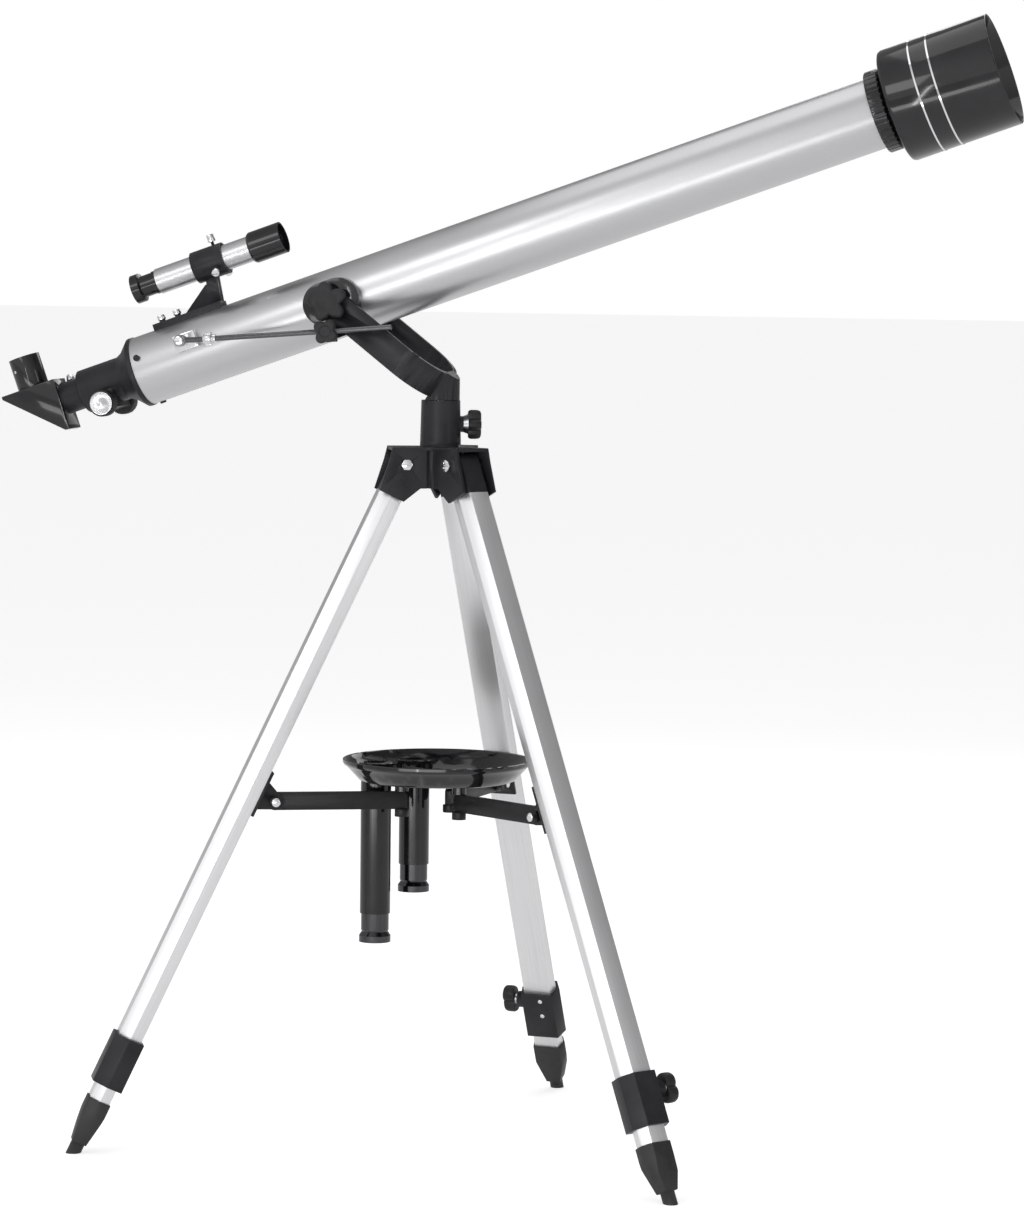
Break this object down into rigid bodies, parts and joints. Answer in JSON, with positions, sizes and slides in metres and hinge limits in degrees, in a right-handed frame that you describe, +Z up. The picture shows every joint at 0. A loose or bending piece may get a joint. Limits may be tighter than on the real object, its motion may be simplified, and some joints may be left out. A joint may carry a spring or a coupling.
{
  "type": "telescope on tripod",
  "caption": "Long refracting telescope with finder and star diagonal on a fork mount, standing on a folding aluminium tripod with an accessory tray.",
  "frame": {"origin": "on the ground, below the middle of the whole object's box; the tripod's vertical axis is 56.0 mm behind it and 66.1 mm to its -Y side", "axes": "+X is level and the way the telescope points, +Z is up, +Y is to the telescope's left"},
  "size_m": [0.958, 0.5516, 1.0538],
  "materials": {
    "satin_black_plastic": "satin moulded black plastic",
    "knob_plastic": "fine-textured black plastic",
    "fork_enamel": "dark grey enamel on cast metal",
    "turned_steel": "turned steel",
    "chrome": "bright chrome plating",
    "silver_tube": "silver metallic lacquer on aluminium tube",
    "gloss_black_plastic": "glossy black plastic",
    "black_steel": "black painted pressed steel",
    "optical_glass": "coated optical glass",
    "mirror_glass": "front-silvered mirror",
    "leg_aluminium": "satin anodised aluminium extrusion",
    "foot_rubber": "black rubber"
  },
  "bodies": {
    "head": {"tripod_head": "satin_black_plastic", "leg_pivot_bolts": "chrome"},
    "azimuth_clamp": {"azimuth_knob": "knob_plastic"},
    "fork": {"fork": "fork_enamel", "fork_spindle": "turned_steel"},
    "altitude_clamp_near": {"altitude_knob_near": "knob_plastic"},
    "altitude_clamp_far": {"altitude_knob_far": "knob_plastic"},
    "rod_clamp": {"rod_clamp": "satin_black_plastic"},
    "rod_clamp_screw": {"rod_clamp_knob": "knob_plastic"},
    "tube": {"main_tube": "silver_tube", "pivot_pads": "gloss_black_plastic", "rod_bracket": "chrome", "tube_screws": "black_steel", "objective_cell": "gloss_black_plastic", "objective_lens": "optical_glass", "focuser_body": "satin_black_plastic", "finder_bracket": "satin_black_plastic", "finder_screws": "chrome"},
    "rod": {"altitude_rod": "turned_steel"},
    "fine_nut": {"fine_adjust_nut": "chrome"},
    "drawtube": {"drawtube": "satin_black_plastic", "gear_rack": "turned_steel", "drawtube_screw": "chrome"},
    "focus_shaft": {"pinion_shaft": "turned_steel", "focus_knobs": "gloss_black_plastic", "focus_knob_caps": "chrome"},
    "diagonal": {"diagonal_housing": "gloss_black_plastic", "eyepiece_barrel": "gloss_black_plastic", "diagonal_mirror": "mirror_glass"},
    "dew_shield": {"dew_shield": "gloss_black_plastic", "dew_shield_rings": "chrome"},
    "finder": {"finder_tube": "silver_tube", "finder_objective_cell": "gloss_black_plastic"},
    "finder_eyepiece": {"finder_eyepiece": "gloss_black_plastic"},
    "tray": {"tray": "gloss_black_plastic"},
    "erecting_tube": {"erecting_tube": "gloss_black_plastic", "erecting_eyepiece": "chrome"},
    "barlow": {"barlow_tube": "gloss_black_plastic", "barlow_eyepiece": "chrome"},
    "leg_a": {"outer_leg_a": "leg_aluminium", "leg_mouldings_a": "satin_black_plastic", "brace_bracket_a": "black_steel"},
    "brace_arm_a": {"brace_arm_a": "black_steel"},
    "inner_leg_a": {"inner_leg_a": "leg_aluminium", "foot_a": "foot_rubber"},
    "leg_clamp_a": {"leg_knob_a": "knob_plastic"},
    "leg_b": {"outer_leg_b": "leg_aluminium", "leg_mouldings_b": "satin_black_plastic", "brace_bracket_b": "black_steel"},
    "brace_arm_b": {"brace_arm_b": "black_steel"},
    "inner_leg_b": {"inner_leg_b": "leg_aluminium", "foot_b": "foot_rubber"},
    "leg_clamp_b": {"leg_knob_b": "knob_plastic"},
    "leg_c": {"outer_leg_c": "leg_aluminium", "leg_mouldings_c": "satin_black_plastic", "brace_bracket_c": "black_steel"},
    "brace_arm_c": {"brace_arm_c": "black_steel"},
    "inner_leg_c": {"inner_leg_c": "leg_aluminium", "foot_c": "foot_rubber"},
    "leg_clamp_c": {"leg_knob_c": "knob_plastic"}
  },
  "joints": [
    {"name": "azimuth_swivel", "type": "hinge", "parent": "head", "child": "fork", "pos_m": [-0.05597, -0.06605, 0.639], "axis": [0, 0, 1], "continuous": true},
    {"name": "azimuth_clamp_turn", "type": "hinge", "parent": "head", "child": "azimuth_clamp", "pos_m": [-0.05597, -0.06605, 0.676], "axis": [0.9511, 0.309, 0], "range_deg": [0, 360]},
    {"name": "altitude", "type": "hinge", "parent": "fork", "child": "tube", "pos_m": [-0.15097, -0.06605, 0.788], "axis": [0, -1, 0], "range_deg": [-25, 50]},
    {"name": "altitude_clamp_near_turn", "type": "hinge", "parent": "fork", "child": "altitude_clamp_near", "pos_m": [-0.15097, -0.11255, 0.788], "axis": [0, -1, 0], "range_deg": [0, 360]},
    {"name": "altitude_clamp_far_turn", "type": "hinge", "parent": "fork", "child": "altitude_clamp_far", "pos_m": [-0.15097, -0.01955, 0.788], "axis": [0, 1, 0], "range_deg": [0, 360]},
    {"name": "rod_swing", "type": "hinge", "parent": "tube", "child": "rod", "pos_m": [-0.29244, -0.11805, 0.7501], "axis": [0, -1, 0], "range_deg": [-2, 3]},
    {"name": "rod_clamp_swivel", "type": "hinge", "parent": "fork", "child": "rod_clamp", "pos_m": [-0.14889, -0.11805, 0.76115], "axis": [0, -1, 0], "range_deg": [-28, 54]},
    {"name": "rod_clamp_screw_turn", "type": "hinge", "parent": "rod_clamp", "child": "rod_clamp_screw", "pos_m": [-0.14889, -0.11805, 0.76115], "axis": [0, -1, 0], "range_deg": [0, 360]},
    {"name": "fine_nut_turn", "type": "hinge", "parent": "rod", "child": "fine_nut", "pos_m": [-0.29244, -0.11805, 0.7501], "axis": [0.9971, 0, 0.0768], "continuous": true},
    {"name": "focus", "type": "slide", "parent": "tube", "child": "drawtube", "axis": [-0.9426, 0, -0.3338], "range_m": [-0.0075, 0.055]},
    {"name": "focus_turn", "type": "hinge", "parent": "tube", "child": "focus_shaft", "pos_m": [-0.37403, -0.06605, 0.68994], "axis": [0, -1, 0], "range_deg": [-123, 901]},
    {"name": "diagonal_turn", "type": "hinge", "parent": "drawtube", "child": "diagonal", "pos_m": [-0.42151, -0.06605, 0.6922], "axis": [0.9426, 0, 0.3338], "continuous": true},
    {"name": "dew_shield_slide", "type": "slide", "parent": "tube", "child": "dew_shield", "axis": [0.9426, 0, 0.3338], "range_m": [0, 0.1]},
    {"name": "finder_aim", "type": "hinge", "parent": "tube", "child": "finder", "pos_m": [-0.27202, -0.06605, 0.82427], "axis": [0, -1, 0], "range_deg": [-1.5, 1.5]},
    {"name": "finder_focus", "type": "slide", "parent": "finder", "child": "finder_eyepiece", "axis": [0.9426, 0, 0.3338], "range_m": [-0.003, 0.003]},
    {"name": "tray_removal", "type": "slide", "parent": "head", "child": "tray", "axis": [-0.7986, 0.6018, 0], "range_m": [0, 0.264]},
    {"name": "erecting_tube_lift", "type": "slide", "parent": "tray", "child": "erecting_tube", "axis": [0, 0, 1], "range_m": [0, 0.17]},
    {"name": "barlow_lift", "type": "slide", "parent": "tray", "child": "barlow", "axis": [0, 0, 1], "range_m": [0, 0.125]},
    {"name": "leg_a_fold", "type": "hinge", "parent": "head", "child": "leg_a", "pos_m": [-0.08727, -0.07934, 0.639], "axis": [0.3907, -0.9205, 0], "range_deg": [0, 21]},
    {"name": "brace_a_swing", "type": "hinge", "parent": "leg_a", "child": "brace_arm_a", "pos_m": [-0.19589, -0.12544, 0.32605], "axis": [-0.3907, 0.9205, 0], "range_deg": [0, 116.37]},
    {"name": "leg_a_extend", "type": "slide", "parent": "leg_a", "child": "inner_leg_a", "axis": [-0.3944, -0.1674, -0.9036], "range_m": [0, 0.42]},
    {"name": "leg_a_clamp_turn", "type": "hinge", "parent": "leg_a", "child": "leg_clamp_a", "pos_m": [-0.32516, -0.18032, 0.09397], "axis": [-0.3907, 0.9205, 0], "range_deg": [0, 360]},
    {"name": "leg_b_fold", "type": "hinge", "parent": "head", "child": "leg_b", "pos_m": [-0.02882, -0.08651, 0.639], "axis": [0.6018, 0.7986, 0], "range_deg": [0, 21.5]},
    {"name": "brace_b_swing", "type": "hinge", "parent": "leg_b", "child": "brace_arm_b", "pos_m": [0.06542, -0.15753, 0.32605], "axis": [-0.6018, -0.7986, 0], "range_deg": [0, 116.37]},
    {"name": "leg_b_extend", "type": "slide", "parent": "leg_b", "child": "inner_leg_b", "axis": [0.3422, -0.2578, -0.9036], "range_m": [0, 0.42]},
    {"name": "leg_b_clamp_turn", "type": "hinge", "parent": "leg_b", "child": "leg_clamp_b", "pos_m": [0.17758, -0.24205, 0.09397], "axis": [0.6018, 0.7986, 0], "range_deg": [0, 360]},
    {"name": "leg_c_fold", "type": "hinge", "parent": "head", "child": "leg_c", "pos_m": [-0.05183, -0.0323, 0.639], "axis": [-0.9925, 0.1219, 0], "range_deg": [0, 21.5]},
    {"name": "brace_c_swing", "type": "hinge", "parent": "leg_c", "child": "brace_arm_c", "pos_m": [-0.03745, 0.08482, 0.32605], "axis": [0.9925, -0.1219, 0], "range_deg": [0, 116.37]},
    {"name": "leg_c_extend", "type": "slide", "parent": "leg_c", "child": "inner_leg_c", "axis": [0.0522, 0.4253, -0.9036], "range_m": [0, 0.42]},
    {"name": "leg_c_clamp_turn", "type": "hinge", "parent": "leg_c", "child": "leg_clamp_c", "pos_m": [-0.02033, 0.22421, 0.09397], "axis": [-0.9925, 0.1219, 0], "range_deg": [0, 360]}
  ],
  "couplings": [
    {"joint": "rod_swing", "follows": "altitude", "ratio": 0.04},
    {"joint": "rod_clamp_swivel", "follows": "altitude", "ratio": 1.04},
    {"joint": "focus_turn", "follows": "focus", "rad_per_m": 285.71},
    {"joint": "tray_removal", "follows": "leg_a_fold", "m_per_rad": 0.7202},
    {"joint": "brace_a_swing", "follows": "leg_a_fold", "ratio": 5.4938},
    {"joint": "leg_b_fold", "follows": "leg_a_fold", "ratio": 1},
    {"joint": "brace_b_swing", "follows": "leg_a_fold", "ratio": 5.4938},
    {"joint": "leg_c_fold", "follows": "leg_a_fold", "ratio": 1},
    {"joint": "brace_c_swing", "follows": "leg_a_fold", "ratio": 5.4938}
  ]
}
